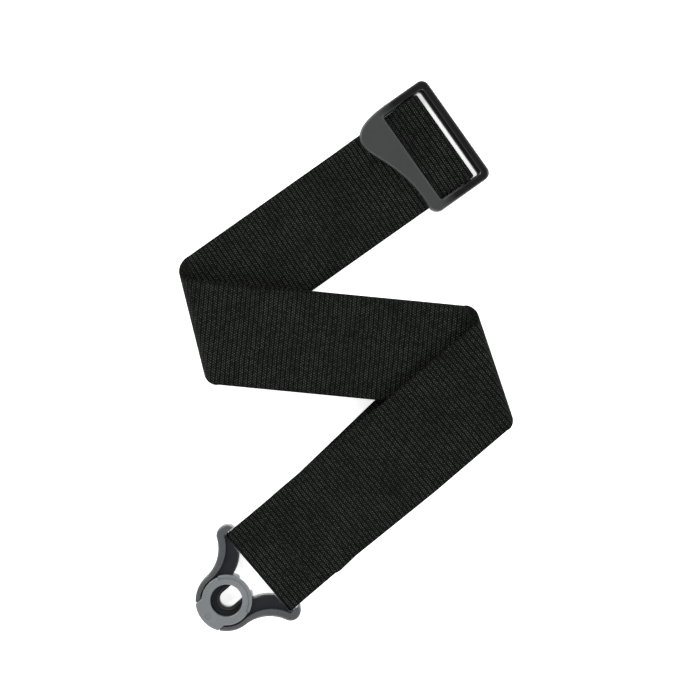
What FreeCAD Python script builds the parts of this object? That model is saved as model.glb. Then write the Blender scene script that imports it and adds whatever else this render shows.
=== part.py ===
import FreeCAD, Part
import math
import os
from FreeCAD import Placement, Rotation, Vector

# A webbing guitar strap folded flat into a Z, with a press-on button lock at each end and a lever adjuster.
# The frame: +Z up, the strap lies on the plane Z = 0, and the origin is the centre of its footprint.
# Each lock has its own frame: x from the button seat towards the webbing, y to the left, z up from its back.
# The adjuster has its own frame too: x along the back run and away from it, y to the left, z up.

DIMENSIONS = {
    # webbing
    "web_width": 50.0,
    "web_thick": 1.1,
    "layer_step": 1.2,
    # plan of the three runs: headings in degrees, one point of each run's centre line
    "back_heading": 35.2,
    "back_x": 46.75,
    "back_y": 107.57,
    "middle_heading": -5.5,
    "middle_x": 2.73,
    "middle_y": 4.86,
    "middle_stagger": 0.5,
    "front_heading": 40.4,
    "front_x": -58.87,
    "front_y": -121.74,
    # fold axes: heading, one point, height
    "left_fold_heading": -76.0,
    "left_fold_x": -69.87,
    "left_fold_y": 15.86,
    "left_fold_z": 6.25,
    "right_fold_heading": -71.5,
    "right_fold_x": 71.03,
    "right_fold_y": -10.44,
    "right_fold_z": 13.9,
    # front run: it rises from the table to the top of the stack
    "front_low": 6.78,
    "front_high": 18.25,
    "rise_start": 64.0,
    "rise_end": 114.0,
    "rise_radius": 30.0,
    # the doubled run turns back under the front run and ends round the bar of lock B
    "turn_x": 52.0,
    "turn_z": 3.065,
    "tail_shift": -1.2,
    "tail_skew": 3.4,
    "lock_b_bar_x": 132.0,
    "lock_b_side": 0.5,
    # lock
    "lock_back": 2.4,
    "lock_core_top": 6.3,
    "lock_rim_top": 8.0,
    "disc_radius": 15.5,
    "core_radius": 13.1,
    "front_radius": 12.9,
    "ear_x": 21.0,
    "ear_y": 24.6,
    "ear_radius": 5.1,
    "pocket_half": 25.6,
    "arm_end": 19.8,
    "arm_inner": 13.7,
    "seat_x": 1.0,
    "seat_radius": 4.15,
    "dish_radius": 7.7,
    "dish_depth": 1.3,
    "lip_radius": 5.7,
    "lip_drop": 0.2,
    "bar_x": 23.2,
    "bar_z": 4.2,
    "bar_radius": 1.95,
    "bar_half": 28.4,
    # release ring
    "ring_bottom": 6.4,
    "ring_top": 8.4,
    "ring_inner": 8.0,
    "ring_outer": 12.3,
    "band_outer": 12.8,
    "band_inner": 10.9,
    "band_depth": 0.5,
    "band_half_angle": 69.0,
    "tab_half": 8.7,
    "tab_radius": 15.4,
    "pivot_x": -5.3,
    "pivot_z": 5.3,
    "pivot_radius": 0.9,
    "pivot_inner": 9.2,
    "pivot_outer": 10.5,
    "relief_drop": 2.18,
    "spring_x": -10.4,
    "spring_y": 3.5,
    "spring_floor": 2.9,
    "spring_radius": 0.95,
    "spring_wire": 0.18,
    "spring_turns": 4.5,
    "spring_well": 1.3,
    # lock screws
    "screw_head_radius": 1.2,
    "screw_head_height": 1.2,
    "screw_radius": 0.8,
    "screw_end": 5.6,
    # adjuster
    "adj_bottom": 2.2,
    "adj_top": 7.4,
    "adj_half": 29.6,
    "adj_front": 16.3,
    "adj_corner": 4.0,
    "adj_bar_x": 4.5,
    "adj_bar_z": 4.3,
    "adj_bar_radius": 1.92,
    "window_front": 10.9,
    "ledge_front": 12.1,
    "ledge_depth": 2.2,
    "window_back": -11.5,
    "window_half": 25.2,
    "window_corner": 1.2,
    "tunnel_top": 5.0,
    # stitches
    "stitch_length": 2.2,
    "stitch_gap": 1.1,
    "stitch_width": 0.5,
    "stitch_high": 0.25,
}

UP = Vector(0, 0, 1)
WRAP_STEP = math.radians(15)
FOLD_STEPS = 12
BAR_CLEARANCE = 0.08

doc = FreeCAD.newDocument("guitar_strap")
sheet = doc.addObject("Spreadsheet::Sheet", "Dimensions")
for row, (alias, value) in enumerate(DIMENSIONS.items(), start=1):
    sheet.set("A%d" % row, alias)
    sheet.set("B%d" % row, str(value))
    sheet.setAlias("B%d" % row, alias)
doc.recompute()


def dim(alias):
    """The sheet's value as a plain number."""
    return float(sheet.get(alias))


def bind(item, prop, expression):
    """Binds a property to the sheet: names in braces are its aliases."""
    item.setExpression(prop, expression.replace("{", "Dimensions.").replace("}", ""))


# ---------------------------------------------------------------- outlines and small helpers


def line(start, end):
    return Part.LineSegment(Vector(*start, 0), Vector(*end, 0))


def arc(start, middle, end):
    return Part.ArcOfCircle(Vector(*start, 0), Vector(*middle, 0), Vector(*end, 0))


def circle(x, y, radius):
    return Part.Circle(Vector(x, y, 0), UP, radius)


def polygon(points):
    return [line(a, b) for a, b in zip(points, points[1:] + points[:1])]


def box_outline(x0, x1, y0, y1):
    return polygon([(x0, y0), (x1, y0), (x1, y1), (x0, y1)])


def polar(radius, degrees):
    return (radius * math.cos(math.radians(degrees)), radius * math.sin(math.radians(degrees)))


def plane_of(body, role):
    for feature in body.Origin.OriginFeatures:
        if feature.Role == role:
            return feature


def sketch_on(body, name, geometry, height):
    """A sketch on the body's own XY plane, lifted to a height that the sheet gives."""
    sketch = body.newObject("Sketcher::SketchObject", name)
    sketch.AttachmentSupport = [(plane_of(body, "XY_Plane"), "")]
    sketch.MapMode = "FlatFace"
    for item in geometry:
        sketch.addGeometry(item)
    bind(sketch, ".AttachmentOffset.Base.z", height)
    return sketch


def pad(body, name, geometry, bottom, length):
    feature = body.newObject("PartDesign::Pad", name)
    feature.Profile = sketch_on(body, name + "_sketch", geometry, bottom)
    bind(feature, "Length", length)
    body.Tip = feature
    doc.recompute()


def pocket(body, name, geometry, top, length):
    """Cuts downwards from the given height; a pocket that cuts nothing is an error."""
    before = body.Shape.Volume
    feature = body.newObject("PartDesign::Pocket", name)
    feature.Profile = sketch_on(body, name + "_sketch", geometry, top)
    bind(feature, "Length", length)
    body.Tip = feature
    doc.recompute()
    if body.Shape.Volume > before - 0.01:
        raise RuntimeError(name + " cuts nothing")


def level_edges(shape, z, keep):
    """Names of the edges that lie at one height and whose middle point passes the test."""
    names = []
    for number, edge in enumerate(shape.Edges, start=1):
        box = edge.BoundBox
        middle = edge.valueAt((edge.FirstParameter + edge.LastParameter) / 2)
        if max(abs(box.ZMin - z), abs(box.ZMax - z)) < 1e-4 and keep(middle.x, middle.y):
            names.append("Edge%d" % number)
    return names


def round_edges(body, name, radius, z, keep=lambda x, y: True):
    base = body.Tip
    feature = body.newObject("PartDesign::Fillet", name)
    feature.Base = (base, level_edges(base.Shape, z, keep))
    feature.Radius = radius
    body.Tip = feature
    doc.recompute()


def new_body(label, placement):
    body = doc.addObject("PartDesign::Body", label)
    body.Label = label
    body.Placement = placement
    return body


def shape_part(label, shape, placement=Placement()):
    part = doc.addObject("Part::Feature", label)
    part.Label = label
    part.Shape = shape
    part.Placement = placement
    return part


def heading(degrees):
    return Vector(*polar(1, degrees), 0)


# ---------------------------------------------------------------- the webbing's path


class Run:
    """A straight centre line in plan: one point of it, its heading, and distances along it."""

    def __init__(self, x, y, degrees):
        self.point = Vector(x, y, 0)
        self.degrees = degrees
        self.along = heading(degrees)
        self.left = heading(degrees + 90)

    def at(self, distance, side=0.0, z=0.0):
        return self.point + self.along * distance + self.left * side + UP * z

    def shifted(self, side):
        moved = self.at(0, side)
        return Run(moved.x, moved.y, self.degrees)

    def meets(self, axis):
        """Distance along this run at which its line crosses another run's line."""
        return (axis.point - self.point).dot(axis.left) / self.along.dot(axis.left)

    def placement(self, distance=0.0, z=0.0):
        return Placement(self.at(distance, z=z), Rotation(UP, self.degrees))


def rounded(corners, radii):
    """Points (x, z, tilt) on the tangent arcs that round the corners of a polyline."""
    tilts = [math.atan2(b[1] - a[1], b[0] - a[0]) for a, b in zip(corners, corners[1:])]
    points = []
    for corner, tilt_in, tilt_out, radius in zip(corners[1:], tilts, tilts[1:], radii):
        turn = math.remainder(tilt_out - tilt_in, 2 * math.pi)
        bend = math.copysign(radius, turn)
        reach = radius * math.tan(abs(turn) / 2)
        centre_x = corner[0] - reach * math.cos(tilt_in) - bend * math.sin(tilt_in)
        centre_z = corner[1] - reach * math.sin(tilt_in) + bend * math.cos(tilt_in)
        steps = max(3, round(abs(turn) / WRAP_STEP))
        for step in range(steps + 1):
            tilt = tilt_in + turn * step / steps
            points.append((centre_x + bend * math.sin(tilt), centre_z - bend * math.cos(tilt), tilt))
    return points


def cut_end(run, x, z):
    """The station at a cut end, where the webbing runs against its run with the front looking up."""
    return (run.at(x, z=z), run.left * (dim("web_width") / 2), -UP)


def upright(run, corners, radii, face):
    """Stations along a run; face is 1 where the webbing's front looks up when it travels along the run.

    The straight lengths at both ends are left out, since a fold or a cut end closes them."""
    half = run.left * (face * dim("web_width") / 2)
    stations = []
    for x, z, tilt in rounded(corners, radii):
        normal = run.along * -math.sin(tilt) + UP * math.cos(tilt)
        station = (run.at(x, z=z), half, normal * face)
        if not stations or station[0].distanceToPoint(stations[-1][0]) > 1e-6:
            stations.append(station)
    return stations


def fold(axis, run_in, run_out, z_in, z_out, travel, face):
    """Stations of a half turn about a level axis that crosses the webbing at a slant.

    travel is 1 where the webbing comes in along run_in and -1 where it comes against it;
    face is 1 where its front looks up before the fold."""
    start = run_in.at(run_in.meets(axis), z=z_in)
    end = run_out.at(run_out.meets(axis), z=z_out)
    radius = (z_out - z_in) / 2
    outward = axis.left * math.copysign(1, travel * run_in.along.dot(axis.left))
    side = math.copysign(1, face * travel * axis.along.dot(run_in.left))
    half_in, half_out = (dim("web_width") / 2 / abs(run.left.dot(axis.along)) for run in (run_in, run_out))
    stations = []
    for step in range(FOLD_STEPS + 1):
        part = step / FOLD_STEPS
        angle = math.pi * part
        drift = (end - start) * (part * part * (3 - 2 * part))
        centre = start + Vector(drift.x, drift.y, 0) + outward * (abs(radius) * math.sin(angle))
        centre.z = z_in + radius * (1 - math.cos(angle))
        half = axis.along * (side * (half_in + (half_out - half_in) * part))
        normal = UP * math.cos(angle) - outward * math.copysign(math.sin(angle), radius)
        stations.append((centre, half, normal * face))
    return stations


def ribbon(stations):
    """A closed solid of even thickness through all stations."""
    lift = dim("web_thick") / 2
    wires = []
    for centre, half, normal in stations:
        up = normal * lift
        corners = [centre + half + up, centre - half + up, centre - half - up, centre + half - up]
        wires.append(Part.makePolygon(corners + corners[:1]))
    return Part.makeLoft(wires, True, True)


def rise(layer, front_end, back=False):
    """Corners of the front run's rise for a layer under the top one, from the table to the stack's top."""
    drop = layer * dim("layer_step")
    low = dim("front_low") - drop
    high = dim("front_high") - drop
    slope = math.atan2(high - low, dim("rise_end") - dim("rise_start"))
    shift = drop * math.tan(slope / 2)
    corners = [(dim("rise_start") + shift, low), (dim("rise_end") + shift, high), (front_end, high)]
    radii = [dim("rise_radius") + drop, dim("rise_radius") - drop]
    return (corners[::-1], radii[::-1]) if back else (corners, radii)


back_run = Run(dim("back_x"), dim("back_y"), dim("back_heading"))
middle_run = Run(dim("middle_x"), dim("middle_y"), dim("middle_heading"))
front_run = Run(dim("front_x"), dim("front_y"), dim("front_heading"))
left_axis = Run(dim("left_fold_x"), dim("left_fold_y"), dim("left_fold_heading"))
right_axis = Run(dim("right_fold_x"), dim("right_fold_y"), dim("right_fold_heading"))
turn_point = front_run.at(dim("turn_x"))
turn_axis = Run(turn_point.x, turn_point.y, dim("front_heading") + 90 + dim("tail_skew") / 2)
tail_start = front_run.at(dim("turn_x"), dim("tail_shift"))
tail_run = Run(tail_start.x, tail_start.y, dim("front_heading") + dim("tail_skew"))
tail_length = dim("lock_b_bar_x") - dim("turn_x")


def bar_wrap(bar_x, outer_side):
    """The two corners of a half turn round a lock's bar, top one first."""
    reach = dim("bar_radius") + BAR_CLEARANCE + dim("web_thick") / 2
    x = bar_x + outer_side * reach
    return [(x, dim("bar_z") + reach), (x, dim("bar_z") - reach)], [reach, reach]


def webbing_stations():
    """The whole length, from the sewn end at lock A to the sewn end at the adjuster."""
    step = dim("layer_step")
    levels = {
        name: {"back": back_z, "middle": middle_z}
        for name, back_z, middle_z in (("top", 2.95, 9.55), ("inner", 1.75, 10.75), ("bottom", 0.55, 11.95))
    }
    middles = {"top": middle_run.shifted(dim("middle_stagger")), "inner": middle_run}
    middles["bottom"] = middle_run.shifted(-dim("middle_stagger"))
    layer_of = {"top": 0, "inner": 1, "bottom": 2}

    def fold_pair(name, towards_back):
        """Both folds and the middle run of one layer, from the front run or towards it."""
        middle = middles[name]
        z_front = dim("front_high") - layer_of[name] * step
        z_middle = levels[name]["middle"]
        z_back = levels[name]["back"]
        if towards_back:
            return fold(right_axis, front_run, middle, z_front, z_middle, 1, 1) + fold(
                left_axis, middle, back_run, z_middle, z_back, -1, -1
            )
        return fold(left_axis, back_run, middle, z_back, z_middle, -1, -1) + fold(
            right_axis, middle, front_run, z_middle, z_front, 1, 1
        )

    front_end = front_run.meets(right_axis)
    back_start = back_run.meets(left_axis)
    wrap_a, radii_a = bar_wrap(dim("bar_x"), -1)
    wrap_b, radii_b = bar_wrap(tail_length, 1)
    bottom_z = wrap_a[1][1]
    sewn_z = dim("front_low") - step

    # round the bar of lock A, then up the front run on top of the stack
    corners, radii = rise(0, front_end)
    start = [(42.6, sewn_z), (34.5, sewn_z), (27.0, bottom_z), wrap_a[1], wrap_a[0]]
    stations = [cut_end(front_run, 42.6, sewn_z)]
    stations += upright(front_run, start + corners, [8.0, 8.0] + radii_a + radii, 1)
    stations += fold_pair("top", True)

    # along the back run, over the sewn end and the adjuster's bar, and back underneath
    bar_z = dim("adj_bar_z")
    outer = bar_z - levels["bottom"]["back"]
    inner = bar_z - levels["inner"]["back"]
    lifted = levels["top"]["back"] + step
    over = [
        (back_start, levels["top"]["back"]),
        (-46.0, levels["top"]["back"]),
        (-34.0, lifted),
        (-11.5, lifted),
        (-2.2, bar_z + outer),
        (outer, bar_z + outer),
        (outer, bar_z - outer),
        (back_start, bar_z - outer),
    ]
    stations += upright(back_run, over, [12.0, 12.0, 8.0, 4.0, outer, outer], 1)
    stations += fold_pair("bottom", False)

    # down the front run, back beneath it, round the bar of lock B and back again
    corners, radii = rise(2, front_end, back=True)
    low = corners[-1][1]
    turn_low = dim("turn_z") * 2 - low
    turn_end = front_run.meets(turn_axis)
    stations += upright(front_run, corners + [(turn_end, low)], radii, 1)
    stations += fold(turn_axis, front_run, tail_run, low, turn_low, -1, -1)
    tail_end = tail_run.meets(turn_axis)
    out = [(tail_end, turn_low), (tail_length - 33.0, turn_low), (tail_length - 4.0, wrap_b[0][1])]
    home_z = turn_low - step
    home = [(tail_length - 3.0, wrap_b[1][1]), (tail_length - 13.0, home_z), (tail_end, home_z)]
    stations += upright(tail_run, out + wrap_b + home, [20.0, 12.0] + radii_b + [12.0, 20.0], 1)
    stations += fold(turn_axis, tail_run, front_run, home_z, low + step, -1, -1)
    corners, radii = rise(1, front_end)
    stations += upright(front_run, [(turn_end, low + step)] + corners, radii, 1)
    stations += fold_pair("inner", True)

    # to the adjuster's bar, round it, and sewn down on itself
    sewn = [
        (back_start, levels["inner"]["back"]),
        (inner, bar_z - inner),
        (inner, bar_z + inner),
        (-1.9, bar_z + inner),
        (-11.2, levels["top"]["back"]),
        (-30.0, levels["top"]["back"]),
    ]
    stations += upright(back_run, sewn, [inner, inner, 2.8, 6.8], 1)
    stations.append(cut_end(back_run, -30.0, levels["top"]["back"]))
    return stations


def make_webbing():
    shape_part("webbing", ribbon(webbing_stations()))


def stitch_row(x, levels):
    """Short threads across the webbing at one distance along its run, on each given level."""
    pitch = dim("stitch_length") + dim("stitch_gap")
    count = int((dim("web_width") - 3.0) // pitch)
    threads = []
    for index in range(count):
        side = (index - (count - 1) / 2) * pitch - dim("stitch_length") / 2
        for z in levels:
            thread = Part.makeBox(dim("stitch_width"), dim("stitch_length"), dim("stitch_high"))
            thread.translate(Vector(x - dim("stitch_width") / 2, side, z))
            threads.append(thread)
    return Part.makeCompound(threads)


def make_stitching():
    half = dim("web_thick") / 2
    top = dim("front_low") + half
    under = dim("front_low") - dim("layer_step") - half - dim("stitch_high")
    shape_part("lock_a_stitching", stitch_row(39.6, [top, under]), front_run.placement())
    joint = 2.95 + half
    shape_part("adjuster_stitching", stitch_row(-24.0, [joint - 0.2]), back_run.placement())


# ---------------------------------------------------------------- the lock


def concave(radius_in, angle_in, ear, ear_radius):
    """The hollow arc that leaves the disc at an angle and touches the ear: its centre and radius."""
    ux, uy = polar(1, angle_in)
    px, py = ear[0] - radius_in * ux, ear[1] - radius_in * uy
    along = px * ux + py * uy
    radius = (px * px + py * py - ear_radius**2) / (2 * (along + ear_radius))
    return (ux * (radius_in + radius), uy * (radius_in + radius)), radius


def towards(centre, radius, target):
    length = math.dist(centre, target)
    return tuple(c + radius * (t - c) / length for c, t in zip(centre, target))


def arc_about(centre, radius, start, end):
    """The shorter arc about a centre from one point to another."""
    middle = ((start[0] + end[0]) / 2, (start[1] + end[1]) / 2)
    return arc(start, towards(centre, radius, middle), end)


def flipped(item):
    """The same curve on the other side of the lock's centre line."""
    points = [item.StartPoint, item.value((item.FirstParameter + item.LastParameter) / 2), item.EndPoint]
    start, middle, end = [(p.x, -p.y) for p in points]
    return line(start, end) if isinstance(item, Part.LineSegment) else arc(start, middle, end)


OUTLINE_ANGLE = 92.0
INNER_ANGLE = 88.0


def outer_curves():
    """The outer edge of one side: from the disc over the waist and round the ear to the webbing pocket."""
    disc = dim("disc_radius")
    ear = (dim("ear_x"), dim("ear_y"))
    centre, radius = concave(disc, OUTLINE_ANGLE, ear, dim("ear_radius"))
    leave = polar(disc, OUTLINE_ANGLE)
    touch = towards(ear, dim("ear_radius"), centre)
    rise_y = dim("pocket_half") - ear[1]
    ear_end = (ear[0] + math.sqrt(dim("ear_radius") ** 2 - rise_y**2), dim("pocket_half"))
    tip = (ear[0] + dim("ear_radius") * 0.55, ear[1] + dim("ear_radius") * math.sqrt(1 - 0.55**2))
    return leave, [arc_about(centre, radius, leave, touch), arc(touch, tip, ear_end)], ear_end


def inner_curve():
    """The edge between a grey rim and the black core, from the core's disc to the end of the arm."""
    disc = dim("core_radius")
    end = (dim("arm_end"), dim("pocket_half") - 0.6)
    centre, radius = concave(disc, INNER_ANGLE, end, 0.0)
    leave = polar(disc, INNER_ANGLE)
    return leave, arc_about(centre, radius, leave, end), end


def arm_side():
    """The rounded side of an arm that faces the gap, from the arm's end to the front of the disc."""
    start = (dim("arm_end"), dim("arm_inner"))
    end = polar(dim("front_radius"), 36.3)
    return start, arc(start, (15.6, 9.9), end), end


def silhouette():
    """The whole outline of the lock's housing."""
    leave, curves, ear_end = outer_curves()
    arm_start, side_arc, arm_stop = arm_side()
    half = curves + [
        line(ear_end, (dim("arm_end"), dim("pocket_half"))),
        line((dim("arm_end"), dim("pocket_half")), arm_start),
        side_arc,
    ]
    front = arc(arm_stop, (dim("front_radius"), 0), (arm_stop[0], -arm_stop[1]))
    back = arc((leave[0], -leave[1]), (-dim("disc_radius"), 0), leave)
    return half + [flipped(item) for item in half] + [front, back]


def core_outline():
    leave, hollow, end = inner_curve()
    arm_start, side_arc, arm_stop = arm_side()
    half = [hollow, line(end, arm_start), side_arc]
    front = arc(arm_stop, (dim("front_radius"), 0), (arm_stop[0], -arm_stop[1]))
    back = arc((leave[0], -leave[1]), (-dim("core_radius"), 0), leave)
    return half + [flipped(item) for item in half] + [front, back]


def rim_outline():
    """One grey rim with its ear, on the left side."""
    tab_side = dim("tab_half") + 0.4
    leave, curves, ear_end = outer_curves()
    inner_leave, hollow, end = inner_curve()
    outer_start = (-math.sqrt(dim("disc_radius") ** 2 - tab_side**2), tab_side)
    inner_start = (-math.sqrt(dim("core_radius") ** 2 - tab_side**2), tab_side)
    return [
        line(inner_start, outer_start),
        arc_about((0, 0), dim("disc_radius"), outer_start, leave),
        *curves,
        line(ear_end, (dim("arm_end"), dim("pocket_half"))),
        line((dim("arm_end"), dim("pocket_half")), end),
        hollow,
        arc_about((0, 0), dim("core_radius"), inner_leave, inner_start),
    ]


def slot(half, end):
    """A slot of the given half width: round at the seat and straight to its end nearer the webbing."""
    seat = dim("seat_x")
    return [
        arc((seat, half), (seat - half, 0), (seat, -half)),
        line((seat, -half), (end, -half)),
        line((end, -half), (end, half)),
        line((end, half), (seat, half)),
    ]


SCREW_PLACES = [(19.0, 27.25), (13.2, 13.4), (13.2, -13.4), (19.0, -27.25)]


def screw_circles(radius):
    return [circle(x, y, radius) for x, y in SCREW_PLACES]


def sketch_across(body, name, geometry, offset="0"):
    """A sketch on the body's XZ plane, in x and z, moved towards -y by the offset."""
    sketch = body.newObject("Sketcher::SketchObject", name)
    sketch.AttachmentSupport = [(plane_of(body, "XZ_Plane"), "")]
    sketch.MapMode = "FlatFace"
    for item in geometry:
        sketch.addGeometry(item)
    bind(sketch, ".AttachmentOffset.Base.z", offset)
    return sketch


def cut_across(body, name, geometry, length):
    """A cut along y, centred on the body's XZ plane; one that cuts nothing is an error."""
    before = body.Shape.Volume
    cut = body.newObject("PartDesign::Pocket", name)
    cut.Profile = sketch_across(body, name + "_sketch", geometry)
    cut.Midplane = True
    bind(cut, "Length", length)
    body.Tip = cut
    doc.recompute()
    if body.Shape.Volume > before - 0.01:
        raise RuntimeError(name + " cuts nothing")


def cut_bar_hole(body):
    """The hole for the strap's bar, across the ears."""
    cut_across(body, "bar_hole", [circle(dim("bar_x"), dim("bar_z"), dim("bar_radius"))], "2 * {bar_half}")


def make_rear_shell(prefix, placement):
    body = new_body(prefix + "_rear_shell", placement)
    pad(body, "plate", silhouette(), "0", "{lock_back}")
    pocket(body, "slot", slot(dim("seat_radius") + 0.6, 15.0), "{lock_back}", "{lock_back}")
    pocket(body, "screw_heads", screw_circles(dim("screw_head_radius")), "{screw_head_height}", "5")
    pocket(body, "screw_holes", screw_circles(dim("screw_radius")), "{lock_back}", "{lock_back}")
    cut_bar_hole(body)
    round_edges(body, "back_edge", 0.4, 0.0, on_silhouette)


def on_silhouette(x, y):
    near_screw = any(math.dist((x, y), place) < 2.2 for place in SCREW_PLACES)
    at_slot = x > 10.5 and abs(y) < 8.2
    return math.hypot(x, y) > 13.2 and not near_screw and not at_slot


def make_core(prefix, placement):
    body = new_body(prefix + "_core", placement)
    pad(body, "block", core_outline(), "{lock_back}", "{lock_core_top} - {lock_back}")
    pocket(body, "dish", [circle(0, 0, dim("dish_radius"))], "{lock_core_top}", "{dish_depth}")
    pad(body, "lip", slot(dim("lip_radius"), 5.6), "{lock_core_top} - {dish_depth}", "{dish_depth} - {lip_drop}")
    pocket(body, "slot", slot(dim("seat_radius"), 15.0), "{lock_core_top}", "10")
    far = -14.0
    drop = dim("relief_drop")
    start = dim("pivot_x") + 0.4
    top = dim("lock_core_top")
    cut_across(body, "relief", polygon([(start, top), (start, top + 1), (far, top + 1), (far, top - drop)]), "30")
    sockets = []
    for side in (1, -1):
        low = side * (dim("pivot_inner") - 0.1)
        high = side * (dim("pivot_outer") + 0.1)
        sockets += box_outline(dim("pivot_x") - 1.6, dim("pivot_x") + 1.6, low, high)
    depth = "{lock_core_top} - {pivot_z} + {pivot_radius} + 0.05"
    pocket(body, "lug_sockets", sockets, "{lock_core_top}", depth)
    wells = [circle(dim("spring_x"), side * dim("spring_y"), dim("spring_well")) for side in (1, -1)]
    pocket(body, "spring_wells", wells, "{lock_core_top}", "{lock_core_top} - {spring_floor}")
    inner_screws = [circle(x, y, dim("screw_radius")) for x, y in SCREW_PLACES[1:3]]
    pocket(body, "screw_holes", inner_screws, "{screw_end}", "{screw_end}")
    round_edges(body, "arm_edge", 0.9, dim("lock_core_top"), on_arm_side)
    round_edges(body, "lip_edge", 0.35, dim("lock_core_top") - dim("lip_drop"), on_lip)


def on_arm_side(x, y):
    return 12.0 < x < 19.0 and 8.0 < abs(y) < 12.5


def on_lip(x, y):
    """The outer edge of the lip's round end."""
    return abs(math.hypot(x - dim("seat_x"), y) - dim("lip_radius")) < 0.1 and x < dim("seat_x")


def make_rim(prefix, placement, name, side):
    body = new_body("%s_rim_%s" % (prefix, name), placement)
    outline = rim_outline() if side > 0 else [flipped(item) for item in rim_outline()]
    pad(body, "rim", outline, "{lock_back}", "{lock_rim_top} - {lock_back}")
    cut_bar_hole(body)
    place = SCREW_PLACES[0] if side > 0 else SCREW_PLACES[3]
    pocket(body, "screw_hole", [circle(*place, dim("screw_radius"))], "{screw_end}", "{screw_end}")
    round_edges(body, "top_edge", 1.1, dim("lock_rim_top"), on_outer_edge)


def on_outer_edge(x, y):
    return math.hypot(x, y) > 14.5 and not (x > 18.5 and abs(y) < 25.8) and not inside_inner(x, y)


def inside_inner(x, y):
    centre, radius = concave(dim("core_radius"), INNER_ANGLE, (dim("arm_end"), dim("pocket_half") - 0.6), 0.0)
    return abs(math.dist((x, abs(y)), centre) - radius) < 0.3


def ring_outline():
    """The release ring's plan: a disc with a thumb tab."""
    outer = dim("ring_outer")
    tab = dim("tab_half")
    join = -math.sqrt(outer**2 - tab**2)
    end = -math.sqrt(dim("tab_radius") ** 2 - tab**2)
    return [
        arc((join, tab), (outer, 0), (join, -tab)),
        line((join, -tab), (end, -tab)),
        arc((end, -tab), (-dim("tab_radius"), 0), (end, tab)),
        line((end, tab), (join, tab)),
    ]


def band_outline(inner_radius, outer_radius):
    """A sector of the ring's front, between two radii."""
    half = dim("band_half_angle")
    start, inner = polar(outer_radius, half), polar(inner_radius, half)
    return [
        arc((start[0], -start[1]), (outer_radius, 0), start),
        line(start, inner),
        arc(inner, (inner_radius, 0), (inner[0], -inner[1])),
        line((inner[0], -inner[1]), (start[0], -start[1])),
    ]


def make_ring(prefix, placement):
    body = new_body(prefix + "_release_ring", placement)
    pad(body, "ring", ring_outline(), "{ring_bottom}", "{ring_top} - {ring_bottom}")
    step = band_outline(dim("band_inner"), dim("band_outer") + 1)
    pocket(body, "band_step", step, "{ring_top}", "{band_depth}")
    band = band_outline(dim("band_inner") + 0.5, dim("band_outer"))
    pad(body, "band", band, "{ring_bottom}", "{ring_top} - {band_depth} - {ring_bottom}")
    pocket(body, "hole", [circle(0, 0, dim("ring_inner"))], "{ring_top}", "{ring_top} - {ring_bottom}")
    half = dim("pivot_radius")
    necks = []
    for side in (1, -1):
        edges = sorted((side * dim("pivot_inner"), side * dim("pivot_outer")))
        necks += box_outline(dim("pivot_x") - half, dim("pivot_x") + half, *edges)
    pad(body, "lug_necks", necks, "{pivot_z}", "{ring_bottom} - {pivot_z} + 0.2")
    for name, offset in (("lug_left", "-{pivot_outer}"), ("lug_right", "{pivot_inner}")):
        lug = body.newObject("PartDesign::Pad", name)
        round_end = [circle(dim("pivot_x"), dim("pivot_z"), half)]
        lug.Profile = sketch_across(body, name + "_sketch", round_end, offset)
        bind(lug, "Length", "{pivot_outer} - {pivot_inner}")
        body.Tip = lug
        doc.recompute()
    pocket(body, "tab_mark", [circle(-11.9, 0, 1.5)], "{ring_top}", "0.3")
    round_edges(body, "top_edge", 0.45, dim("ring_top"), on_ring_edge)
    round_edges(body, "band_edge", 0.5, dim("ring_top") - dim("band_depth"), on_band_edge)


def on_ring_edge(x, y):
    """The ring's hole and its round outside with the tab, and neither the band's step nor the tab's mark."""
    radius = math.hypot(x, y)
    return radius < dim("ring_inner") + 0.3 or (radius > dim("ring_outer") - 0.2 and math.hypot(x + 11.9, y) > 1.6)


def on_band_edge(x, y):
    return abs(math.hypot(x, y) - dim("band_outer")) < 0.1


def coil(x, y, low, high):
    """A spring round an upright axis, of six-sided wire."""
    steps = round(dim("spring_turns") * 12)
    wires = []
    for step in range(steps + 1):
        outward = heading(step * 30)
        centre = Vector(x, y, low + (high - low) * step / steps) + outward * dim("spring_radius")
        corners = []
        for corner in range(6):
            across, up = polar(dim("spring_wire"), corner * 60)
            corners.append(centre + outward * across + UP * up)
        wires.append(Part.makePolygon(corners + corners[:1]))
    return Part.makeLoft(wires, True, True)


def make_springs(prefix, placement):
    """Two small compression springs that push the ring's tab up."""
    low = dim("spring_floor") + dim("spring_wire")
    high = dim("ring_bottom") - dim("spring_wire") - 0.05
    coils = [coil(dim("spring_x"), side * dim("spring_y"), low, high) for side in (1, -1)]
    shape_part(prefix + "_ring_springs", Part.makeCompound(coils), placement)


def make_screws(prefix, placement):
    screws = []
    for x, y in SCREW_PLACES:
        head = Part.makeCylinder(dim("screw_head_radius"), dim("screw_head_height"), Vector(x, y, 0))
        shank = Part.makeCylinder(dim("screw_radius"), dim("screw_end"), Vector(x, y, 0))
        slot_a = Part.makeBox(1.8, 0.45, 0.5, Vector(x - 0.9, y - 0.225, 0))
        slot_b = Part.makeBox(0.45, 1.8, 0.5, Vector(x - 0.225, y - 0.9, 0))
        screws.append(head.fuse(shank).cut(slot_a).cut(slot_b))
    shape_part(prefix + "_screws", Part.makeCompound(screws), placement)


def make_strap_bar(prefix, placement):
    bar = doc.addObject("Part::Cylinder", prefix + "_strap_bar")
    bar.Label = prefix + "_strap_bar"
    bind(bar, "Radius", "{bar_radius}")
    bind(bar, "Height", "2 * {bar_half}")
    across = Placement(
        Vector(dim("bar_x"), dim("bar_half"), dim("bar_z")), Rotation(Vector(1, 0, 0), 90)
    )
    bar.Placement = placement.multiply(across)


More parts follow.
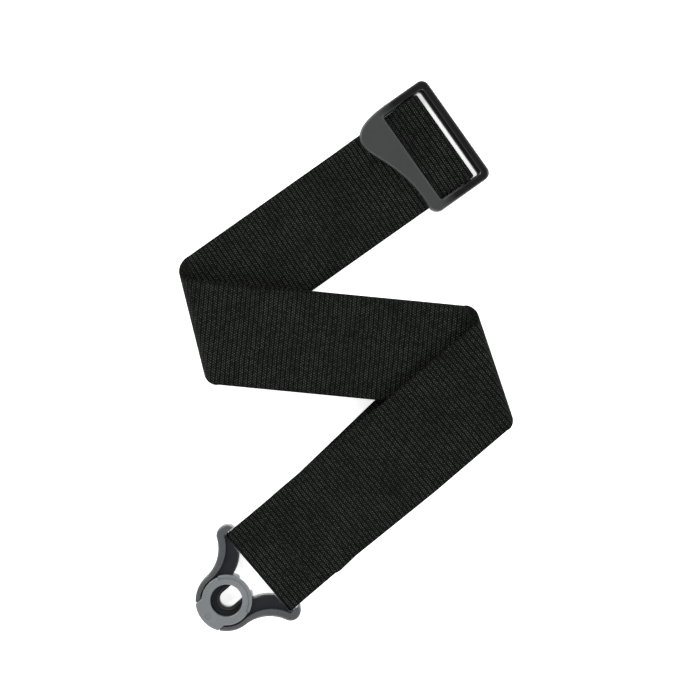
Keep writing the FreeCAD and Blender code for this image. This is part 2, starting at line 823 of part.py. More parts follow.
def make_lock(prefix, placement):
    make_rear_shell(prefix, placement)
    make_core(prefix, placement)
    make_rim(prefix, placement, "left", 1)
    make_rim(prefix, placement, "right", -1)
    make_ring(prefix, placement)
    make_springs(prefix, placement)
    make_screws(prefix, placement)
    make_strap_bar(prefix, placement)


# ---------------------------------------------------------------- the adjuster

TAB_CURVE = [
    (-18.7, -24.6),
    (-18.8, -13.0),
    (-21.6, 0.0),
    (-24.8, 8.6),
    (-27.6, 16.2),
    (-28.0, 20.4),
    (-26.2, 24.6),
    (-19.6, 28.3),
    (-9.0, 29.6),
]


def adjuster_outline():
    """The adjuster's plan: a rounded oblong whose back side swells into the lever tab."""
    front, half, corner = dim("adj_front"), dim("adj_half"), dim("adj_corner")
    slant = corner * (1 - math.sqrt(0.5))
    tab = Part.BSplineCurve()
    tab.interpolate([Vector(x, y, 0) for x, y in TAB_CURVE])
    return [
        line(TAB_CURVE[-1], (front - corner, half)),
        arc((front - corner, half), (front - slant, half - slant), (front, half - corner)),
        line((front, half - corner), (front, corner - half)),
        arc((front, corner - half), (front - slant, slant - half), (front - corner, -half)),
        line((front - corner, -half), (-13.0, -half)),
        arc((-13.0, -half), (-17.2, -28.2), TAB_CURVE[0]),
        tab,
    ]


def rounded_box(x0, x1, y0, y1, radius):
    slant = radius * (1 - math.sqrt(0.5))
    return [
        line((x0 + radius, y0), (x1 - radius, y0)),
        arc((x1 - radius, y0), (x1 - slant, y0 + slant), (x1, y0 + radius)),
        line((x1, y0 + radius), (x1, y1 - radius)),
        arc((x1, y1 - radius), (x1 - slant, y1 - slant), (x1 - radius, y1)),
        line((x1 - radius, y1), (x0 + radius, y1)),
        arc((x0 + radius, y1), (x0 + slant, y1 - slant), (x0, y1 - radius)),
        line((x0, y1 - radius), (x0, y0 + radius)),
        arc((x0, y0 + radius), (x0 + slant, y0 + slant), (x0 + radius, y0)),
    ]


def make_adjuster(placement):
    """The adjuster's own origin is the centre of its window."""
    body = new_body("adjuster_frame", placement)
    half = dim("window_half")
    window = rounded_box(dim("window_back"), dim("window_front"), -half, half, dim("window_corner"))
    pad(body, "plate", adjuster_outline(), "{adj_bottom}", "{adj_top} - {adj_bottom}")
    pocket(body, "window", window, "{adj_top}", "{adj_top}")
    ledge = rounded_box(0.0, dim("ledge_front"), -half, half, dim("window_corner"))
    pocket(body, "ledge", ledge, "{adj_top}", "{ledge_depth}")
    tunnel = box_outline(-30.0, dim("window_back") + 0.5, -half, half)
    pocket(body, "tunnel", tunnel, "{tunnel_top}", "{tunnel_top}")
    round_edges(body, "top_edge", 1.2, dim("adj_top"))
    bar = body.newObject("PartDesign::Pad", "centre_bar")
    section = [circle(dim("adj_bar_x"), dim("adj_bar_z"), dim("adj_bar_radius"))]
    bar.Profile = sketch_across(body, "centre_bar_sketch", section)
    bar.Midplane = True
    bind(bar, "Length", "2 * {window_half} + 1")
    body.Tip = bar
    doc.recompute()


# ---------------------------------------------------------------- build, check and write

make_webbing()
make_stitching()
make_lock("lock_a", front_run.placement())
lock_b_place = tail_run.shifted(dim("lock_b_side")).placement(tail_length + dim("bar_x"))
turned = Placement(Vector(0, 0, 0), Rotation(UP, 180))
face_down = Placement(Vector(0, 0, 2 * dim("bar_z")), Rotation(Vector(1, 0, 0), 180))
make_lock("lock_b", lock_b_place.multiply(turned).multiply(face_down))
make_adjuster(back_run.placement(-dim("adj_bar_x")))
doc.recompute()

NODE_TYPES = ("PartDesign::Body", "Part::Feature", "Part::Cylinder")
for item in doc.Objects:
    if "Invalid" in item.State or "Error" in item.State:
        raise RuntimeError(item.Name + " failed: " + str(item.State))
nodes = [item for item in doc.Objects if item.TypeId in NODE_TYPES]
for item in nodes:
    if item.Shape.isNull() or not item.Shape.isValid():
        raise RuntimeError(item.Label + " has no valid shape")

os.makedirs("parts", exist_ok=True)
for item in nodes:
    item.Shape.exportStep("parts/" + item.Label + ".step")
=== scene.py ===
import math

import bpy
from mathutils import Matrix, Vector


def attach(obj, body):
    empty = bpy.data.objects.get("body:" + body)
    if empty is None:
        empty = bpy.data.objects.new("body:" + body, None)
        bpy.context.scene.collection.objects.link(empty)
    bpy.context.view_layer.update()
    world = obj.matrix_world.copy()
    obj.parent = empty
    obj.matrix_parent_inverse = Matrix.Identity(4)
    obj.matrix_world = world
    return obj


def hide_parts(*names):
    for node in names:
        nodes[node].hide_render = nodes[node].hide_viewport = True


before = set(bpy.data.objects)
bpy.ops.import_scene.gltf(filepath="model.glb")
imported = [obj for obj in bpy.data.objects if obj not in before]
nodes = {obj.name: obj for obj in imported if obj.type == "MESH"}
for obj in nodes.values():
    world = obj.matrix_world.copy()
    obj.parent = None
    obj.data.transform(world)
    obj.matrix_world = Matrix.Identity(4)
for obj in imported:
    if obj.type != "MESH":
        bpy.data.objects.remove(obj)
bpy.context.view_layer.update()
MM = 0.001
UP = Vector((0, 0, 1))


# ------------------------------------------------------------------ camera, light and floor, in metres

LENS = 71.6  # millimetres, for the 36 mm sensor
CAMERA_PLACE = (2.63 * MM, 2.86 * MM, 0.700)
FLOOR_GLOW = 0.7
GAP_REACH = 0.010  # how near a piece has to be for painted shade to dim the floor's glow
GAP_OPEN = 0.2  # share of open sky at which the floor has its full glow
WALL_TOP, CEILING = 0.70, 0.93  # heights in the world's Generated space
LAMPS = [  # name, place, watts, side of the square
    ("key", (-0.75, 0.70, 0.75), 11.0, 0.7),
    ("fill", (0.95, 0.25, 0.70), 6.0, 0.8),
    ("front", (-0.35, -0.95, 0.70), 6.0, 0.8),
]


def make_stage():
    """A camera straight above, a pale floor that glows except where painted shade dims it in narrow gaps, and
    three soft lamps.
    """
    camera = bpy.data.cameras.new("camera")
    camera.sensor_width = 36
    camera.lens = LENS
    camera.clip_start = 0.01
    view = bpy.data.objects.new("camera", camera)
    view.location = CAMERA_PLACE
    bpy.context.collection.objects.link(view)
    bpy.context.scene.camera = view

    bpy.ops.mesh.primitive_plane_add(size=6, location=(0, 0, 0))
    floor = bpy.context.object
    floor.name = "floor"
    material = bpy.data.materials.new("floor_white")
    material.use_nodes = True
    shader = material.node_tree.nodes["Principled BSDF"]
    shader.inputs["Base Color"].default_value = (0.93, 0.93, 0.93, 1)
    shader.inputs["Roughness"].default_value = 0.9
    shader.inputs["Specular IOR Level"].default_value = 0.1
    shader.inputs["Emission Color"].default_value = (1, 1, 1, 1)
    # painted shade: ambient occlusion dims the floor's glow in narrow gaps and beside the pieces
    painted_gap_shade = material.node_tree.nodes.new("ShaderNodeAmbientOcclusion")
    painted_gap_shade.inputs["Distance"].default_value = GAP_REACH
    glow_with_painted_shade = material.node_tree.nodes.new("ShaderNodeMapRange")
    glow_with_painted_shade.inputs["From Max"].default_value = GAP_OPEN
    glow_with_painted_shade.inputs["To Max"].default_value = FLOOR_GLOW
    material.node_tree.links.new(painted_gap_shade.outputs["AO"], glow_with_painted_shade.inputs["Value"])
    material.node_tree.links.new(glow_with_painted_shade.outputs[0], shader.inputs["Emission Strength"])
    floor.data.materials.append(material)

    bpy.context.scene.view_settings.view_transform = "Standard"
    make_studio()
    for name, place, power, size in LAMPS:
        light = bpy.data.lights.new(name, "AREA")
        light.energy = power
        light.size = size
        lamp = bpy.data.objects.new(name, light)
        lamp.location = place
        lamp.rotation_euler = (-Vector(place)).to_track_quat("-Z", "Y").to_euler()
        bpy.context.collection.objects.link(lamp)


def make_studio():
    """White walls all round and a darker ceiling, so flat glossy faces don't mirror the lights."""
    world = bpy.data.worlds.new("studio")
    bpy.context.scene.world = world
    world.use_nodes = True
    tree = world.node_tree
    place = tree.nodes.new("ShaderNodeTexCoord").outputs["Generated"]
    split = tree.nodes.new("ShaderNodeSeparateXYZ")
    tree.links.new(place, split.inputs[0])
    ramp = tree.nodes.new("ShaderNodeValToRGB")
    tree.links.new(split.outputs[2], ramp.inputs[0])
    ramp.color_ramp.elements[0].position = WALL_TOP
    ramp.color_ramp.elements[0].color = (1, 1, 1, 1)
    ramp.color_ramp.elements[1].position = CEILING
    ramp.color_ramp.elements[1].color = (0.16, 0.16, 0.17, 1)
    background = tree.nodes["Background"]
    tree.links.new(ramp.outputs[0], background.inputs["Color"])
    background.inputs["Strength"].default_value = 1.0


# ------------------------------------------------------------------ materials


class Tree:
    """A material's node tree, with short calls for the nodes used here."""

    def __init__(self, name):
        self.material = bpy.data.materials.new(name)
        self.material.use_nodes = True
        self.tree = self.material.node_tree
        self.shader = self.tree.nodes["Principled BSDF"]

    def put(self, socket, value):
        if isinstance(value, bpy.types.NodeSocket):
            self.tree.links.new(value, socket)
        else:
            socket.default_value = value

    def clamp(self, value):
        node = self.tree.nodes.new("ShaderNodeClamp")
        self.put(node.inputs["Value"], value)
        return node.outputs[0]

    def math(self, operation, a, b=0.0, c=0.0):
        node = self.tree.nodes.new("ShaderNodeMath")
        node.operation = operation
        for socket, value in zip(node.inputs, (a, b, c)):
            self.put(socket, value)
        return node.outputs[0]

    def mix(self, factor, a, b):
        node = self.tree.nodes.new("ShaderNodeMix")
        node.data_type = "RGBA"
        self.put(node.inputs[0], factor)
        self.put(node.inputs[6], a)
        self.put(node.inputs[7], b)
        return node.outputs[2]

    def ramp(self, value, *stops):
        node = self.tree.nodes.new("ShaderNodeValToRGB")
        self.put(node.inputs[0], value)
        while len(node.color_ramp.elements) < len(stops):
            node.color_ramp.elements.new(0.5)
        for element, (place, colour) in zip(node.color_ramp.elements, stops):
            element.position = place
            element.color = (*colour, 1)
        return node.outputs[0]

    def noise(self, vector, scale, detail=2.0, rough=0.5):
        node = self.tree.nodes.new("ShaderNodeTexNoise")
        self.put(node.inputs["Vector"], vector)
        node.inputs["Scale"].default_value = scale
        node.inputs["Detail"].default_value = detail
        node.inputs["Roughness"].default_value = rough
        return node.outputs[0]

    def place(self):
        return self.tree.nodes.new("ShaderNodeTexCoord").outputs["Object"]

    def bump(self, height, distance, strength):
        node = self.tree.nodes.new("ShaderNodeBump")
        node.inputs["Strength"].default_value = strength
        node.inputs["Distance"].default_value = distance
        self.put(node.inputs["Height"], height)
        return node.outputs[0]


RIB_PITCH = 0.00228  # metres, like every length in the materials
SELVEDGE = 0.0244  # the webbing is darker from here to its edges
WEAVE_RELIEF = 0.00025


def weave(name, slant, groove, gather, yarn_pitch, dark, light):
    """Ribbed webbing: each rib is two rows of short yarns, and each row leans against the next one.

    slant is how far a yarn leans across its row, in yarn pitches. groove is the depth of the line between
    ribs, and gather is how much the two rows draw together to leave room for it.
    """
    t = Tree(name)
    uv = t.tree.nodes.new("ShaderNodeUVMap")
    uv.uv_map = "weave"
    split = t.tree.nodes.new("ShaderNodeSeparateXYZ")
    t.put(split.inputs[0], uv.outputs[0])
    along, across = split.outputs[0], split.outputs[1]

    drift = t.noise(uv.outputs[0], 60.0, 2.0)
    ribs = t.math("MULTIPLY_ADD", along, 1 / RIB_PITCH, t.math("MULTIPLY", drift, 0.5))
    gathered = t.math("MULTIPLY_ADD", t.math("FRACT", ribs), gather, 0.5 - gather / 2)
    in_rib = t.clamp(gathered)
    rows = t.math("MULTIPLY", in_rib, 1.999)
    row = t.math("MULTIPLY_ADD", t.math("FLOOR", ribs), 2.0, t.math("FLOOR", rows))
    in_row = t.math("FRACT", rows)
    lean = t.math("MULTIPLY_ADD", t.math("PINGPONG", row, 1.0), 2.0, -1.0)
    shift = t.math("MULTIPLY", t.math("MULTIPLY", lean, slant), t.math("SUBTRACT", in_row, 0.5))
    yarns = t.math("ADD", t.math("MULTIPLY_ADD", across, 1 / yarn_pitch, 100.0), shift)
    yarns = t.math("MULTIPLY_ADD", row, 0.5, yarns)
    yarn = t.math("FLOOR", yarns)
    in_yarn = t.math("FRACT", yarns)

    def crown(value, power):
        edge = t.math("ABSOLUTE", t.math("MULTIPLY_ADD", value, 2.0, -1.0))
        return t.math("SUBTRACT", 1.0, t.math("POWER", edge, power))

    rib_height = t.math("MULTIPLY_ADD", crown(in_rib, 2.5), groove, 1 - groove)
    row_height = t.math("MULTIPLY_ADD", crown(in_row, 2.0), 0.5, 0.5)
    float_height = t.math("MULTIPLY", row_height, crown(in_yarn, 1.6))
    body = t.math("MULTIPLY", t.math("MULTIPLY_ADD", float_height, 0.7, 0.3), rib_height)

    cell = t.tree.nodes.new("ShaderNodeCombineXYZ")
    t.put(cell.inputs[0], row)
    t.put(cell.inputs[1], yarn)
    random = t.tree.nodes.new("ShaderNodeTexWhiteNoise")
    t.put(random.inputs["Vector"], cell.outputs[0])

    patch = t.noise(uv.outputs[0], 45.0, 3.0)
    fibre = t.noise(uv.outputs[0], 5200.0, 2.0)
    # painted light: colour follows the weave's height, so yarn crowns are painted bright as glints for the
    # yarns' gloss, and yarn ends and the lines between ribs are painted dark as shade; the per-yarn, patch
    # and fibre noise is the webbing's own colour
    tone_and_painted_light = t.math("MULTIPLY_ADD", t.math("POWER", float_height, 4.2), 0.98, 0.02)
    tone_and_painted_light = t.math("MULTIPLY", tone_and_painted_light, rib_height)
    tone_and_painted_light = t.math("MULTIPLY", tone_and_painted_light, t.math("MULTIPLY_ADD", random.outputs["Value"], 0.7, 0.3))
    tone_and_painted_light = t.math("MULTIPLY", tone_and_painted_light, t.math("MULTIPLY_ADD", patch, 1.0, 0.5))
    tone_and_painted_light = t.math("MULTIPLY_ADD", t.math("SUBTRACT", fibre, 0.5), 0.10, tone_and_painted_light)
    selvedge = t.math("GREATER_THAN", t.math("ABSOLUTE", across), SELVEDGE)
    tone_and_painted_light = t.math("MULTIPLY", tone_and_painted_light, t.math("MULTIPLY_ADD", selvedge, -0.45, 1.0))
    colour = t.ramp(tone_and_painted_light, (0.0, dark), (0.8, light))
    t.put(t.shader.inputs["Base Color"], colour)
    t.put(t.shader.inputs["Roughness"], t.math("MULTIPLY_ADD", random.outputs["Value"], 0.2, 0.6))
    t.shader.inputs["Specular IOR Level"].default_value = 0.03
    height = t.math("MULTIPLY_ADD", fibre, 0.10, t.math("MULTIPLY_ADD", random.outputs["Value"], 0.10, body))
    t.put(t.shader.inputs["Normal"], t.bump(height, WEAVE_RELIEF, 0.8))
    return t.material


MOULD_GRAIN = 900.0
MOULD_RELIEF = 0.00002


def plastic(name, colour, rough, spread=0.12):
    """Moulded plastic: fine grain, faint clouding and handling marks."""
    t = Tree(name)
    place = t.place()
    cloud = t.noise(place, 70.0, 4.0, 0.6)
    fine = t.noise(place, MOULD_GRAIN, 3.0, 0.6)
    stretched = t.tree.nodes.new("ShaderNodeMapping")
    stretched.inputs["Scale"].default_value = (40.0, 900.0, 200.0)
    stretched.inputs["Rotation"].default_value = (0.0, 0.0, 0.7)
    t.put(stretched.inputs["Vector"], place)
    marks = t.math("GREATER_THAN", t.noise(stretched.outputs[0], 3.0, 2.0), 0.70)
    low = tuple(c * (1 - spread) for c in colour)
    high = tuple(min(1.0, c * (1 + spread)) for c in colour)
    worn = tuple(min(1.0, c * 1.25 + 0.01) for c in colour)
    base = t.mix(cloud, (*low, 1), (*high, 1))
    t.put(t.shader.inputs["Base Color"], t.mix(t.math("MULTIPLY", marks, 0.35), base, (*worn, 1)))
    t.put(t.shader.inputs["Roughness"], t.math("MULTIPLY_ADD", cloud, 0.18, rough - 0.09))
    t.shader.inputs["Specular IOR Level"].default_value = 0.5
    t.put(t.shader.inputs["Normal"], t.bump(fine, MOULD_RELIEF, 0.6))
    return t.material


TAB_END = 13.0  # millimetres from the adjuster's centre at which the tab's painted sheen starts to turn black
TAB_FADE = 9.0  # millimetres over which it does so


def lever_plastic(name, black, painted_sheen_grey, run):
    """Gloss black on the frame, with a painted sheen of light grey on the lever's tab where light would catch
    its raised face, and rougher there; run is the adjuster's own axis.
    """
    t = Tree(name)
    place = t.place()
    reach = t.tree.nodes.new("ShaderNodeVectorMath")
    reach.operation = "DOT_PRODUCT"
    t.put(reach.inputs[0], place)
    reach.inputs[1].default_value = run.along / MM
    cloud = t.noise(place, 90.0, 4.0, 0.6)
    distance = t.math("SUBTRACT", reach.outputs["Value"], run.point.dot(run.along))
    distance = t.math("ADD", distance, t.math("MULTIPLY_ADD", cloud, 3.0, -1.5))
    # painted sheen: the tab is painted a lighter grey as if lit, fading to black towards the frame
    painted_sheen = t.math("SUBTRACT", 1.0, t.math("DIVIDE", t.math("ADD", distance, TAB_END), TAB_FADE))
    painted_sheen = t.clamp(painted_sheen)
    fine = t.noise(place, 1400.0, 3.0, 0.6)
    tone_and_painted_light = t.mix(painted_sheen, (*black, 1), (*painted_sheen_grey, 1))
    speckle = t.math("MULTIPLY_ADD", fine, 0.5, 0.75)
    grey = t.tree.nodes.new("ShaderNodeVectorMath")
    grey.operation = "SCALE"
    t.put(grey.inputs[0], tone_and_painted_light)
    t.put(grey.inputs["Scale"], speckle)
    t.put(t.shader.inputs["Base Color"], grey.outputs[0])
    polish = t.math("MULTIPLY_ADD", cloud, 0.1, 0.2)
    t.put(t.shader.inputs["Roughness"], t.math("MULTIPLY_ADD", painted_sheen, 0.16, polish))
    t.shader.inputs["Specular IOR Level"].default_value = 0.45
    t.put(t.shader.inputs["Normal"], t.bump(fine, 0.00001, 0.5))
    return t.material


def steel(name):
    t = Tree(name)
    place = t.place()
    stretched = t.tree.nodes.new("ShaderNodeMapping")
    stretched.inputs["Scale"].default_value = (60.0, 60.0, 2400.0)
    t.put(stretched.inputs["Vector"], place)
    brush = t.noise(stretched.outputs[0], 4.0, 3.0)
    t.put(t.shader.inputs["Base Color"], t.ramp(brush, (0.3, (0.42, 0.42, 0.43)), (0.7, (0.62, 0.62, 0.63))))
    t.shader.inputs["Metallic"].default_value = 1.0
    t.put(t.shader.inputs["Roughness"], t.math("MULTIPLY_ADD", brush, 0.2, 0.25))
    t.put(t.shader.inputs["Normal"], t.bump(brush, 0.00001, 0.5))
    return t.material


def thread(name):
    t = Tree(name)
    place = t.place()
    wave = t.tree.nodes.new("ShaderNodeTexWave")
    wave.inputs["Scale"].default_value = 900.0
    wave.inputs["Distortion"].default_value = 2.0
    t.put(wave.inputs["Vector"], place)
    colour = t.ramp(wave.outputs[1], (0.2, (0.002, 0.002, 0.002)), (0.9, (0.014, 0.014, 0.014)))
    t.put(t.shader.inputs["Base Color"], colour)
    t.shader.inputs["Roughness"].default_value = 0.7
    t.shader.inputs["Specular IOR Level"].default_value = 0.12
    t.put(t.shader.inputs["Normal"], t.bump(wave.outputs[1], 0.00006, 0.8))
    return t.material


def assign(node, material):
    """Give a CAD piece its material."""
    slots = nodes[node].material_slots
    for slot in slots:
        slot.material = material
    if not slots:
        nodes[node].data.materials.append(material)


# ------------------------------------------------------------------ the webbing's path, in millimetres

WIDTH = 50.0
THICK = 1.1
STEP = 1.2
BAR_Z = 4.2
BAR_REACH = 1.95 + 0.08 + THICK / 2
RISE = (64.0, 114.0)
LOW, HIGH = 6.78, 18.25
BACK_Z = {"top": 2.95, "inner": 1.75, "bottom": 0.55}
MIDDLE_Z = {"top": 9.55, "inner": 10.75, "bottom": 11.95}
LAYER = {"top": 0, "inner": 1, "bottom": 2}
TAIL = 80.0
BAR_X = 23.2  # the lock's bar, from the lock's own origin
ADJUSTER_BAR_Z = 4.3
ADJUSTER_CENTRE_X = -4.5
TURN_X = 52.0  # the fold that sends the webbing on to lock B, in the front run
TURN_Z = 3.065
SEWN_X = 42.6  # the cut end at lock A
SEWN_BACK_X = -30.0  # the cut end at the adjuster
FOLD_STEPS = 20


def heading(degrees):
    return Vector((math.cos(math.radians(degrees)), math.sin(math.radians(degrees)), 0))


class Run:
    """A straight centre line in plan."""

    def __init__(self, x, y, degrees):
        self.point = Vector((x, y, 0))
        self.degrees = degrees
        self.along = heading(degrees)
        self.left = heading(degrees + 90)

    def at(self, distance, side=0.0, z=0.0):
        return self.point + self.along * distance + self.left * side + UP * z

    def shifted(self, side):
        return Run(*self.at(0, side)[:2], self.degrees)

    def meets(self, axis):
        return (axis.point - self.point).dot(axis.left) / self.along.dot(axis.left)


back = Run(46.75, 107.57, 35.2)
middle = Run(2.73, 4.86, -5.5)
front = Run(-58.87, -121.74, 40.4)
left_axis = Run(-69.87, 15.86, -76.0)
right_axis = Run(71.03, -10.44, -71.5)
turn_axis = Run(*front.at(TURN_X)[:2], 132.1)
tail = Run(*front.at(TURN_X, -1.2)[:2], 43.8)
middles = {"top": middle.shifted(0.5), "inner": middle, "bottom": middle.shifted(-0.5)}


def upright(run, corners, radii):
    """Stations (centre, half width, normal, lean) on the rounded corners of a line along a run.

    The line's points are (distance, z).
    """
    tilts = [math.atan2(b[1] - a[1], b[0] - a[0]) for a, b in zip(corners, corners[1:])]
    half = run.left * (WIDTH / 2)
    stations = []
    for corner, tilt_in, tilt_out, radius in zip(corners[1:], tilts, tilts[1:], radii):
        turn = math.remainder(tilt_out - tilt_in, 2 * math.pi)
        bend = math.copysign(radius, turn)
        reach = radius * math.tan(abs(turn) / 2)
        x = corner[0] - reach * math.cos(tilt_in) - bend * math.sin(tilt_in)
        z = corner[1] - reach * math.sin(tilt_in) + bend * math.cos(tilt_in)
        steps = max(4, round(abs(turn) / math.radians(9)))
        for step in range(steps + 1):
            tilt = tilt_in + turn * step / steps
            centre = run.at(x + bend * math.sin(tilt), z=z - bend * math.cos(tilt))
            if not stations or (centre - stations[-1][0]).length > 1e-4:
                normal = run.along * -math.sin(tilt) + UP * math.cos(tilt)
                stations.append((centre, half, normal, 0.0))
    return stations


def cut_end(run, x, z):
    return (run.at(x, z=z), run.left * (WIDTH / 2), -UP, 0.0)


def fold(axis, run_in, run_out, z_in, z_out, travel, face):
    """Stations of a half turn about a level axis that crosses the webbing at a slant.

    travel is 1 when the webbing comes in along run_in and -1 when it comes in against it. face is 1 when the
    sheet's normal points up at the start and -1 when it points down.
    """
    start = run_in.at(run_in.meets(axis), z=z_in)
    end = run_out.at(run_out.meets(axis), z=z_out)
    radius = (z_out - z_in) / 2
    outward = axis.left * math.copysign(1, travel * run_in.along.dot(axis.left))
    side = math.copysign(1, face * travel * axis.along.dot(run_in.left))
    half_in, half_out = (WIDTH / 2 / abs(run.left.dot(axis.along)) for run in (run_in, run_out))
    lean_in = side * half_in * axis.along.dot(run_in.along) * travel
    lean_out = side * half_out * axis.along.dot(run_out.along) * -travel
    stations = []
    for step in range(FOLD_STEPS + 1):
        part = step / FOLD_STEPS
        angle = math.pi * part
        drift = (end - start) * (part * part * (3 - 2 * part))
        centre = start + Vector((drift.x, drift.y, 0)) + outward * (abs(radius) * math.sin(angle))
        centre.z = z_in + radius * (1 - math.cos(angle))
        half = axis.along * (side * (half_in + (half_out - half_in) * part))
        normal = UP * math.cos(angle) - outward * math.copysign(math.sin(angle), radius)
        stations.append((centre, half, normal * face, lean_in + (lean_out - lean_in) * part))
    return stations


def folds(name, towards_back):
    """Both folds of a layer, as one list of stations."""
    run = middles[name]
    z_front, z_middle, z_back = HIGH - LAYER[name] * STEP, MIDDLE_Z[name], BACK_Z[name]
    if towards_back:
        first = fold(right_axis, front, run, z_front, z_middle, 1, 1)
        return first + fold(left_axis, run, back, z_middle, z_back, -1, -1)
    first = fold(left_axis, back, run, z_back, z_middle, -1, -1)
    return first + fold(right_axis, run, front, z_middle, z_front, 1, 1)


def rise(layer, back_first=False):
    """Corners and radii of one layer's climb from lock A onto the folded stack."""
    drop = layer * STEP
    slope = math.atan2(HIGH - LOW, RISE[1] - RISE[0])
    shift = drop * math.tan(slope / 2)
    corners = [(RISE[0] + shift, LOW - drop), (RISE[1] + shift, HIGH - drop)]
    corners.append((front.meets(right_axis), HIGH - drop))
    radii = [30.0 + drop, 30.0 - drop]
    return (corners[::-1], radii[::-1]) if back_first else (corners, radii)


def webbing_path():
    """All stations in order, and the indexes at which each middle run starts and stops."""
    back_x = back.meets(left_axis)
    bottom, top = BAR_Z - BAR_REACH, BAR_Z + BAR_REACH
    marks = []
    stations = [cut_end(front, SEWN_X, LOW - STEP)]
    corners, radii = rise(0)
    near, far = BAR_X - BAR_REACH, TAIL + BAR_REACH
    start = [(SEWN_X, LOW - STEP), (34.5, LOW - STEP), (27.0, bottom), (near, bottom), (near, top)]
    stations += upright(front, start + corners, [8.0, 8.0, BAR_REACH, BAR_REACH] + radii)

    def add_folds(name, towards_back):
        marks.append((len(stations) + FOLD_STEPS // 2, len(stations) + FOLD_STEPS * 3 // 2 + 1))
        stations.extend(folds(name, towards_back))

    add_folds("top", True)
    bar = ADJUSTER_BAR_Z
    outer, inner, lifted = bar - 0.55, bar - 1.75, BACK_Z["top"] + STEP
    over = [(back_x, 2.95), (-46.0, 2.95), (-34.0, lifted), (-11.5, lifted), (-2.2, bar + outer)]
    over += [(outer, bar + outer), (outer, bar - outer), (back_x, bar - outer)]
    stations += upright(back, over, [12.0, 12.0, 8.0, 4.0, outer, outer])
    add_folds("bottom", False)

    corners, radii = rise(2, back_first=True)
    low = corners[-1][1]
    turn_low = 2 * TURN_Z - low
    home = turn_low - STEP
    stations += upright(front, corners + [(front.meets(turn_axis), low)], radii)
    stations += fold(turn_axis, front, tail, low, turn_low, -1, -1)
    end = tail.meets(turn_axis)
    out = [(end, turn_low), (TAIL - 33.0, turn_low), (TAIL - 4.0, top), (far, top), (far, bottom)]
    out += [(TAIL - 3.0, bottom), (TAIL - 13.0, home), (end, home)]
    stations += upright(tail, out, [20.0, 12.0, BAR_REACH, BAR_REACH, 12.0, 20.0])
    stations += fold(turn_axis, tail, front, home, low + STEP, -1, -1)
    corners, radii = rise(1)
    stations += upright(front, [(front.meets(turn_axis), low + STEP)] + corners, radii)
    add_folds("inner", True)
    sewn = [(back_x, 1.75), (inner, bar - inner), (inner, bar + inner)]
    sewn += [(-1.9, bar + inner), (-11.2, 2.95), (SEWN_BACK_X, 2.95)]
    stations += upright(back, sewn, [inner, inner, 2.8, 6.8])
    stations.append(cut_end(back, SEWN_BACK_X, 2.95))
    return stations, marks


EDGE_GAP = 0.12  # keeps the edges clear of the adjuster's tunnel
FACE_GAP = 0.015


def section():
    """The points (place across, height) round the webbing's cross-section, in millimetres."""
    edge, lift = WIDTH / 2 - EDGE_GAP, THICK / 2 - FACE_GAP
    flat = [(-24.4 + 48.8 * i / 16, lift) for i in range(17)]
    top = [(-edge, 0.0), (0.18 - edge, 0.36)] + flat + [(edge - 0.18, 0.36), (edge, 0.0)]
    bottom = [(x, -z) for x, z in reversed(top[1:-1])]
    return top + bottom


def make_webbing(ribbed, herringbone):
    """One continuous sheet along the whole path, with the herringbone on its middle runs."""
    stations, marks = webbing_path()
    profile = section()
    verts, faces, kinds, coords = [], [], [], []
    lengths = [0.0]
    for a, b in zip(stations, stations[1:]):
        lengths.append(lengths[-1] + (b[0] - a[0]).length)
    rows = []
    for index, ((c0, h0, n0, l0), (c1, h1, n1, l1)) in enumerate(zip(stations, stations[1:])):
        pieces = max(1, round((c1 - c0).length / 6.0))
        kind = any(a <= index < b for a, b in marks)
        for piece in range(pieces):
            f = piece / pieces
            rows.append((c0.lerp(c1, f), h0.lerp(h1, f), n0.lerp(n1, f), l0 + (l1 - l0) * f,
                         lengths[index] + (lengths[index + 1] - lengths[index]) * f, kind))
    rows.append((*stations[-1], lengths[-1], False))
    count = len(profile)
    for centre, half, normal, lean, length, kind in rows:
        for x, z in profile:
            share = x / (WIDTH / 2)
            verts.append((centre + half * share + normal.normalized() * z) * MM)
            coords.append(((length + lean * share) * MM, x * MM))
    for row in range(len(rows) - 1):
        for i in range(count):
            j = (i + 1) % count
            a, b = row * count, (row + 1) * count
            faces.append((a + i, a + j, b + j, b + i))
            kinds.append(1 if rows[row][5] else 0)
    faces.append(tuple(range(count)))
    faces.append(tuple(reversed(range((len(rows) - 1) * count, len(rows) * count))))
    kinds += [0, 0]
    mesh = bpy.data.meshes.new("webbing_strap")
    mesh.from_pydata(verts, [], faces)
    mesh.materials.append(ribbed)
    mesh.materials.append(herringbone)
    layer = mesh.uv_layers.new(name="weave")
    for loop in mesh.loops:
        layer.data[loop.index].uv = coords[loop.vertex_index]
    for polygon, kind in zip(mesh.polygons, kinds):
        polygon.material_index = kind
        polygon.use_smooth = True
    strap = bpy.data.objects.new("webbing_strap", mesh)
    bpy.context.collection.objects.link(strap)
    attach(strap, "strap")
    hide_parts("webbing")
    return strap


STITCH = {"distance": 39.6, "pitch": 3.3, "count": 14, "reach": 1.25, "radius": 0.3}  # millimetres


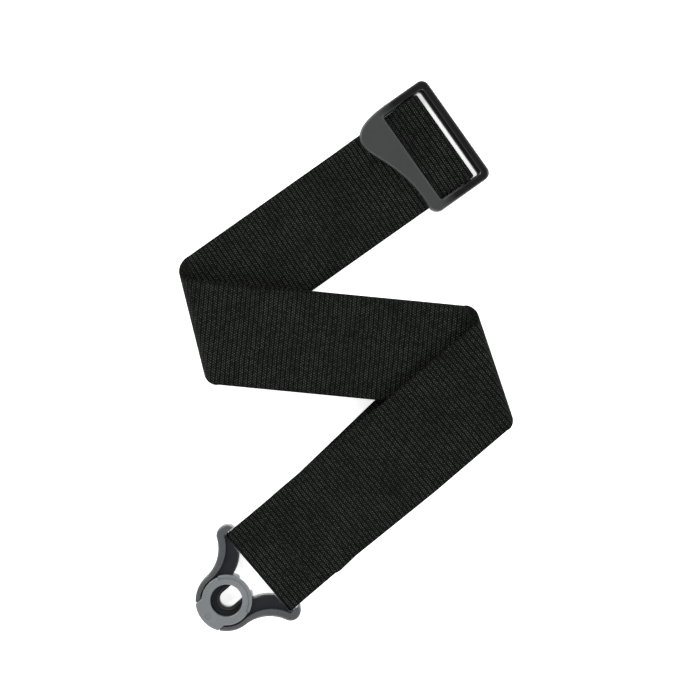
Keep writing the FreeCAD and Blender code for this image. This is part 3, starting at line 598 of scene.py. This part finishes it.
def make_stitches(material):
    """Two rows of short threads with both ends in the webbing: on top, and under the sewn end."""
    verts, faces = [], []
    rings, sides = 9, 8
    levels = [(LOW + THICK / 2, 1), (LOW - STEP - THICK / 2, -1)]
    for index in range(STITCH["count"]):
        side = (index - (STITCH["count"] - 1) / 2) * STITCH["pitch"]
        for level, way in levels:
            first = len(verts)
            for ring in range(rings):
                turn = math.pi * ring / (rings - 1)
                thick = STITCH["radius"] * (0.55 + 0.45 * math.sin(turn))
                across = side - STITCH["reach"] * math.cos(turn)
                height = way * (0.42 * math.sin(turn) - 0.30)
                for corner in range(sides):
                    angle = 2 * math.pi * corner / sides
                    x = STITCH["distance"] + thick * math.cos(angle)
                    z = level + height + thick * math.sin(angle) * 0.8
                    verts.append(front.at(x, across, z) * MM)
            for ring in range(rings - 1):
                for corner in range(sides):
                    a, b = first + ring * sides + corner, first + ring * sides + (corner + 1) % sides
                    faces.append((a, b, b + sides, a + sides))
            faces.append(tuple(range(first + sides - 1, first - 1, -1)))
            faces.append(tuple(range(first + (rings - 1) * sides, first + rings * sides)))
    mesh = bpy.data.meshes.new("lock_a_threads")
    mesh.from_pydata(verts, [], faces)
    mesh.materials.append(material)
    for polygon in mesh.polygons:
        polygon.use_smooth = True
    threads = bpy.data.objects.new("lock_a_threads", mesh)
    bpy.context.collection.objects.link(threads)
    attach(threads, "strap")
    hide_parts("lock_a_stitching")


# ------------------------------------------------------------------ build

make_stage()
shade = (0.0006, 0.0007, 0.0006)
ribbed = weave("webbing_ribbed", 0.5, 0.97, 1.14, 0.00108, shade, (0.070, 0.078, 0.070))
herringbone = weave("webbing_herringbone", 0.65, 0.9, 1.08, 0.00126, shade, (0.066, 0.074, 0.065))
make_webbing(ribbed, herringbone)

housing = plastic("housing_grey", (0.060, 0.063, 0.065), 0.28)
core = plastic("core_black", (0.013, 0.014, 0.0163), 0.18, spread=0.2)
ring = plastic("ring_grey", (0.145, 0.156, 0.163), 0.27)
centre = Run(*back.at(ADJUSTER_CENTRE_X)[:2], back.degrees)
# the second colour is the lever tab's painted sheen
lever = lever_plastic("lever_black", (0.0045, 0.0045, 0.0045), (0.030, 0.032, 0.031), centre)
bright = steel("steel_pin")
dark_thread = thread("stitch_thread")
for lock in ("lock_a_", "lock_b_"):
    for part in ("rear_shell", "rim_left", "rim_right"):
        assign(lock + part, housing)
    assign(lock + "core", core)
    assign(lock + "release_ring", ring)
    for part in ("ring_springs", "screws", "strap_bar"):
        assign(lock + part, bright)
assign("adjuster_frame", lever)
make_stitches(dark_thread)
assign("adjuster_stitching", dark_thread)

bpy.context.view_layer.update()
